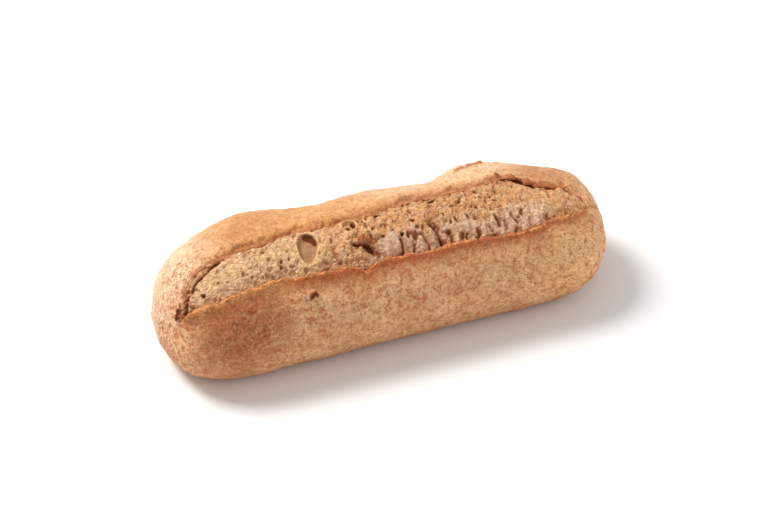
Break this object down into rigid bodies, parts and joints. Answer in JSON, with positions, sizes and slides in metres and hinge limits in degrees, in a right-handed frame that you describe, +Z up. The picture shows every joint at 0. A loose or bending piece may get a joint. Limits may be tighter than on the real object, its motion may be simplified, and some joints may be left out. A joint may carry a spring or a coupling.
{
  "type": "whole wheat bread",
  "caption": "Small oblong whole wheat loaf, rounded at both ends and flat underneath, with one long slash along its top that has opened on torn crumb.",
  "frame": {"origin": "middle of the flat base, on the surface the loaf stands on", "axes": "+X along the loaf, -Y to the side that the slash has opened towards, +Z up"},
  "size_m": [0.2046, 0.0744, 0.0533],
  "materials": {
    "crust": "dry baked whole wheat crust, golden tan with brown bran flecks, darker orange brown along the slash's lips, paler open crumb in the slash"
  },
  "bodies": {
    "root": {"loaf": "crust"}
  },
  "joints": []
}
